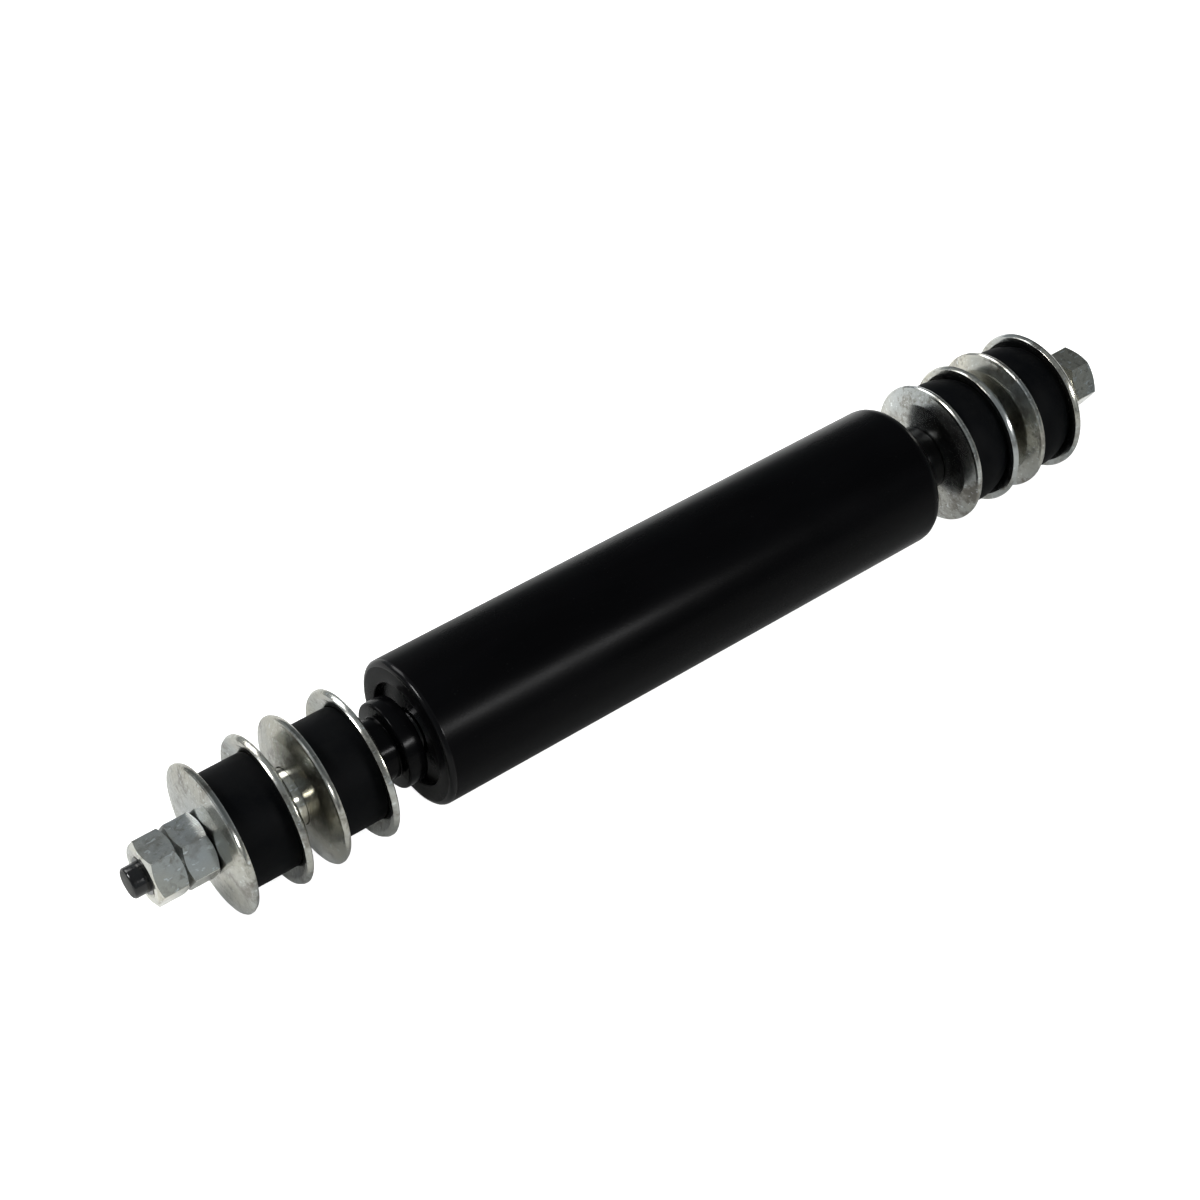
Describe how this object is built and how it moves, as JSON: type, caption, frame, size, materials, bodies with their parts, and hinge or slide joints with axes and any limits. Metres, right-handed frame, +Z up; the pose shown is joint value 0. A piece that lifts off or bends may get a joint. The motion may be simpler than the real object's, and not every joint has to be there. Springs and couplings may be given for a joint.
{
  "type": "truck_shock_absorber",
  "caption": "Twin-tube hydraulic shock absorber with a black tube and a threaded stud, rubber bushes and dished washers at each end, for a truck suspension or cab.",
  "frame": {"origin": "the centre of the base bracket gap, on the damper's axis", "axes": "X along the axis with the rod end at -X and the base end at +X, Z up as it lies"},
  "size_m": [0.3814, 0.0492, 0.0492],
  "materials": {
    "black_paint": "semi-gloss black paint",
    "zinc": "bright zinc plate with light stains",
    "rubber": "satin black rubber",
    "rod_steel": "polished hard chrome, with a black stud end",
    "steel": "bare steel, oiled",
    "sintered_iron": "sintered iron, oiled",
    "bearing_bronze": "bronze bearing",
    "band_plastic": "filled fluoroplastic",
    "urethane": "cast urethane"
  },
  "bodies": {
    "barrel": {"reservoir_tube": "black_paint", "base_stem": "black_paint", "weld_bead": "black_paint", "pressure_tube": "steel", "rod_guide": "sintered_iron", "guide_bush": "bearing_bronze", "oil_seal": "rubber", "seal_plate": "steel", "garter_spring": "steel", "guide_o_ring": "rubber", "base_valve_body": "sintered_iron", "base_valve_bolt": "steel", "base_valve_nut": "steel", "base_shim_1": "steel", "base_shim_2": "steel", "base_shim_3": "steel", "base_check_spring": "steel", "base_inner_cup": "zinc", "base_inner_bush": "rubber", "base_bracket_cup_inner": "zinc", "base_bracket_cup_outer": "zinc", "base_outer_bush": "rubber", "base_outer_cup": "zinc", "base_sleeve": "zinc", "base_nut": "zinc"},
    "band": {"piston_band": "band_plastic"},
    "rod": {"piston_rod": "rod_steel", "rod_collar": "black_paint", "rod_inner_cup": "zinc", "rod_inner_bush": "rubber", "rod_bracket_cup_inner": "zinc", "rod_bracket_cup_outer": "zinc", "rod_outer_bush": "rubber", "rod_outer_cup": "zinc", "rod_sleeve": "zinc", "rod_nut": "zinc", "rod_lock_nut": "zinc", "rebound_stop": "urethane", "rebound_ring": "steel", "backing_washer": "steel", "intake_spring": "steel", "piston": "sintered_iron", "rebound_shim_1": "steel", "rebound_shim_2": "steel", "rebound_shim_3": "steel", "shim_washer": "steel", "piston_nut": "steel"},
    "intake_valve": {"intake_disc": "steel"},
    "base_valve": {"base_check_disc": "steel"}
  },
  "joints": [
    {"name": "rod_slide", "type": "slide", "parent": "barrel", "child": "band", "axis": [-1, 0, 0], "range_m": [-0.0034, 0.104]},
    {"name": "rod_spin", "type": "hinge", "parent": "band", "child": "rod", "pos_m": [0, 0, 0], "axis": [1, 0, 0], "continuous": true},
    {"name": "intake_lift", "type": "slide", "parent": "rod", "child": "intake_valve", "axis": [-1, 0, 0], "range_m": [0, 0.0008], "stiffness_N_per_m": 500, "deforming": ["intake_spring"]},
    {"name": "base_check_lift", "type": "slide", "parent": "barrel", "child": "base_valve", "axis": [-1, 0, 0], "range_m": [0, 0.0008], "stiffness_N_per_m": 500, "deforming": ["base_check_spring"]}
  ]
}
